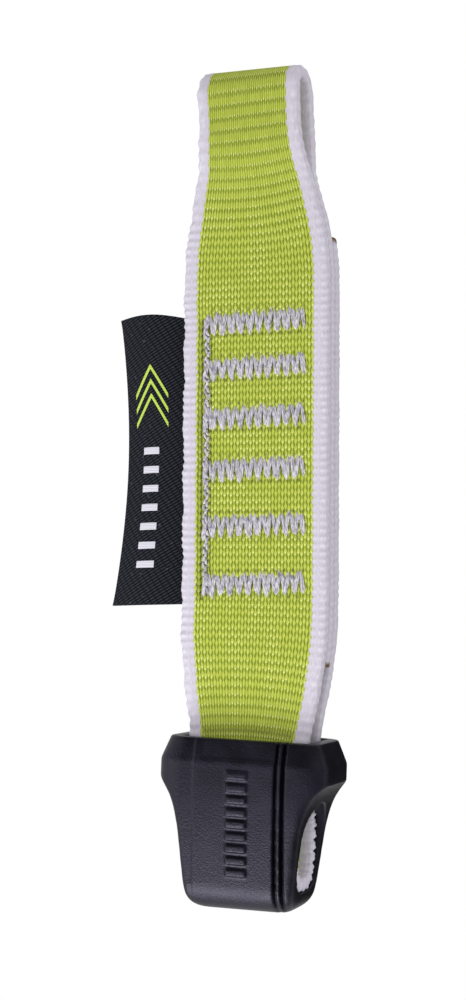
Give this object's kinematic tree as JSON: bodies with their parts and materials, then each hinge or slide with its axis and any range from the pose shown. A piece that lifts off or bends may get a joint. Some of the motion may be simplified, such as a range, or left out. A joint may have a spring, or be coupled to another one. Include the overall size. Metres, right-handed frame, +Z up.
{
  "type": "quickdraw sling",
  "caption": "Short bar-tacked webbing sling with an end loop for each carabiner, a folded side label and a moulded protector over the lower loop.",
  "frame": {"origin": "the point inside the crown of the upper loop where the upper carabiner bears", "axes": "+Z up along the hanging sling, X across the webbing, -Y towards the needle side of the stitching, which is the front"},
  "size_m": [0.0349, 0.0156, 0.1228],
  "materials": {
    "webbing": "woven polyester webbing, lime green with white selvedges",
    "thread": "bonded grey polyester thread",
    "label": "black twill label tape",
    "protector": "moulded black elastomer, satin"
  },
  "bodies": {
    "upper_loop": {"upper_loop_webbing": "webbing"},
    "stitched_middle": {"front_webbing_layer": "webbing", "inner_webbing_layer": "webbing", "back_webbing_layer": "webbing", "bar_tack_1_needle_thread": "thread", "bar_tack_1_bobbin_thread": "thread", "bar_tack_2_needle_thread": "thread", "bar_tack_2_bobbin_thread": "thread", "bar_tack_3_needle_thread": "thread", "bar_tack_3_bobbin_thread": "thread", "bar_tack_4_needle_thread": "thread", "bar_tack_4_bobbin_thread": "thread", "bar_tack_5_needle_thread": "thread", "bar_tack_5_bobbin_thread": "thread", "bar_tack_6_needle_thread": "thread", "bar_tack_6_bobbin_thread": "thread", "label_seam_needle_thread": "thread", "label_seam_bobbin_thread": "thread", "label_tail": "label"},
    "label": {"label_flap": "label"},
    "lower_loop": {"lower_loop_webbing": "webbing"},
    "protector": {"loop_protector": "protector"}
  },
  "joints": [
    {"name": "upper_loop_bend", "type": "hinge", "parent": "upper_loop", "child": "stitched_middle", "pos_m": [0, -0.0011, -0.0205], "axis": [1, 0, 0], "range_deg": [-45, 45], "stiffness_Nm_per_rad": 0.02},
    {"name": "lower_loop_bend", "type": "hinge", "parent": "stitched_middle", "child": "lower_loop", "pos_m": [0, 0, -0.0905], "axis": [1, 0, 0], "range_deg": [-45, 45], "stiffness_Nm_per_rad": 0.01},
    {"name": "protector_slide", "type": "slide", "parent": "lower_loop", "child": "protector", "axis": [0, 0, -1], "range_m": [0, 0.024]},
    {"name": "label_swing", "type": "hinge", "parent": "stitched_middle", "child": "label", "pos_m": [-0.0115, -0.0015, -0.0558], "axis": [0, 0, 1], "range_deg": [-80, 80], "stiffness_Nm_per_rad": 0.0005}
  ]
}
